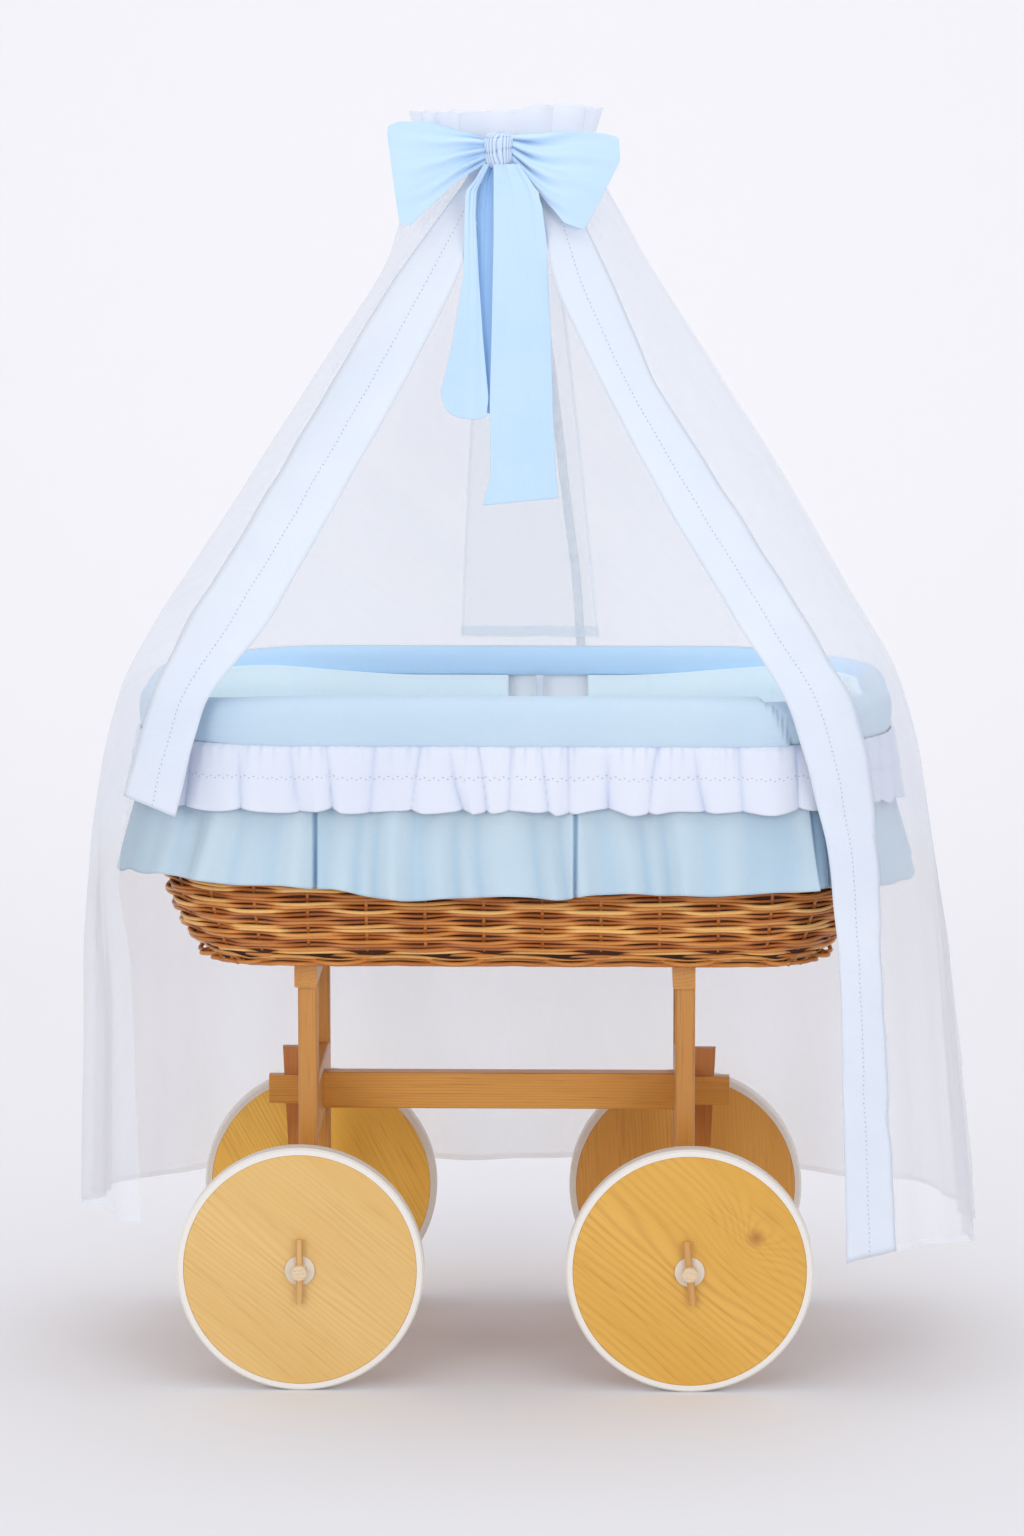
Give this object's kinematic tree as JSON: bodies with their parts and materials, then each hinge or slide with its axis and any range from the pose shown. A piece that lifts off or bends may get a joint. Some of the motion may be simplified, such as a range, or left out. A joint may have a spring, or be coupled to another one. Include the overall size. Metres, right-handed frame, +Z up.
{
  "type": "bassinet on stand",
  "caption": "Wicker bassinet with padded rim, frill and skirt on a wooden stand with disc wheels, under a sheer canopy tied with a bow.",
  "frame": {"origin": "on the floor below the middle of the whole object, which is also the middle of the basket", "axes": "+X along the basket to the right of someone facing the open front, +Y from the front to the back, +Z up"},
  "size_m": [0.9118, 0.504, 1.289],
  "materials": {
    "wheel_wood": "clear-varnished softwood discs with visible grain",
    "stand_wood": "clear-varnished softwood, satin",
    "axle_wood": "pale turned dowel",
    "tyre_rubber": "light grey rubber, matt",
    "washer_plastic": "pale cream plastic",
    "wicker": "peeled and varnished willow, satin",
    "plywood": "bare birch plywood",
    "screw_steel": "zinc-plated steel",
    "mattress_fabric": "white cotton ticking over foam",
    "liner_cotton": "white cotton",
    "nest_cotton": "light blue padded cotton",
    "cover_cotton": "light blue padded cotton",
    "frill_cotton": "white gathered cotton with a hemstitched row",
    "skirt_cotton": "light blue cotton",
    "pole_paint": "white powder coat",
    "voile": "sheer white voile",
    "band_cotton": "white cotton band with a hemstitched row",
    "bow_cotton": "light blue cotton",
    "knot_lace": "white crinkled lace"
  },
  "bodies": {
    "frame": {"axle_left": "axle_wood", "axle_right": "axle_wood", "cross_pins_left": "stand_wood", "cross_pins_right": "stand_wood", "outer_washers": "washer_plastic", "inner_spacers": "washer_plastic", "axle_block_left": "stand_wood", "axle_block_right": "stand_wood", "post_front_left": "stand_wood", "post_front_right": "stand_wood", "post_rear_left": "stand_wood", "post_rear_right": "stand_wood", "cross_rail_left": "stand_wood", "cross_rail_right": "stand_wood", "top_rail_left": "stand_wood", "top_rail_right": "stand_wood", "stretcher": "stand_wood", "wedge_left": "stand_wood", "wedge_right": "stand_wood", "wicker_basket": "wicker", "base_board": "plywood", "base_screws": "screw_steel", "mattress": "mattress_fabric", "liner": "liner_cotton", "padded_nest": "nest_cotton", "nest_tie": "bow_cotton", "rim_cover": "cover_cotton", "frill": "frill_cotton", "skirt_front": "skirt_cotton", "skirt_back": "skirt_cotton", "skirt_left": "skirt_cotton", "skirt_right": "skirt_cotton", "pole_holder": "pole_paint", "holder_screws": "screw_steel", "canopy_pole": "pole_paint", "canopy_ring": "pole_paint", "canopy_left": "voile", "canopy_right": "voile", "canopy_back": "voile", "drape_left": "voile", "drape_right": "voile", "drape_back": "voile", "band_left": "band_cotton", "band_right": "band_cotton", "back_panel": "voile", "ruffle": "voile", "bow_knot": "knot_lace", "bow_loop_left": "bow_cotton", "bow_loop_right": "bow_cotton", "bow_tail_left": "bow_cotton", "bow_tail_right": "bow_cotton"},
    "front_left_wheel": {"wheel_front_left": "wheel_wood", "tyre_front_left": "tyre_rubber"},
    "front_right_wheel": {"wheel_front_right": "wheel_wood", "tyre_front_right": "tyre_rubber"},
    "rear_left_wheel": {"wheel_rear_left": "wheel_wood", "tyre_rear_left": "tyre_rubber"},
    "rear_right_wheel": {"wheel_rear_right": "wheel_wood", "tyre_rear_right": "tyre_rubber"}
  },
  "joints": [
    {"name": "front_left_wheel_spin", "type": "hinge", "parent": "frame", "child": "front_left_wheel", "pos_m": [-0.2145, -0.2, 0.125], "axis": [0, 1, 0], "continuous": true},
    {"name": "front_right_wheel_spin", "type": "hinge", "parent": "frame", "child": "front_right_wheel", "pos_m": [0.1785, -0.2, 0.125], "axis": [0, 1, 0], "continuous": true},
    {"name": "rear_left_wheel_spin", "type": "hinge", "parent": "frame", "child": "rear_left_wheel", "pos_m": [-0.2145, 0.2, 0.125], "axis": [0, 1, 0], "continuous": true},
    {"name": "rear_right_wheel_spin", "type": "hinge", "parent": "frame", "child": "rear_right_wheel", "pos_m": [0.1785, 0.2, 0.125], "axis": [0, 1, 0], "continuous": true}
  ]
}
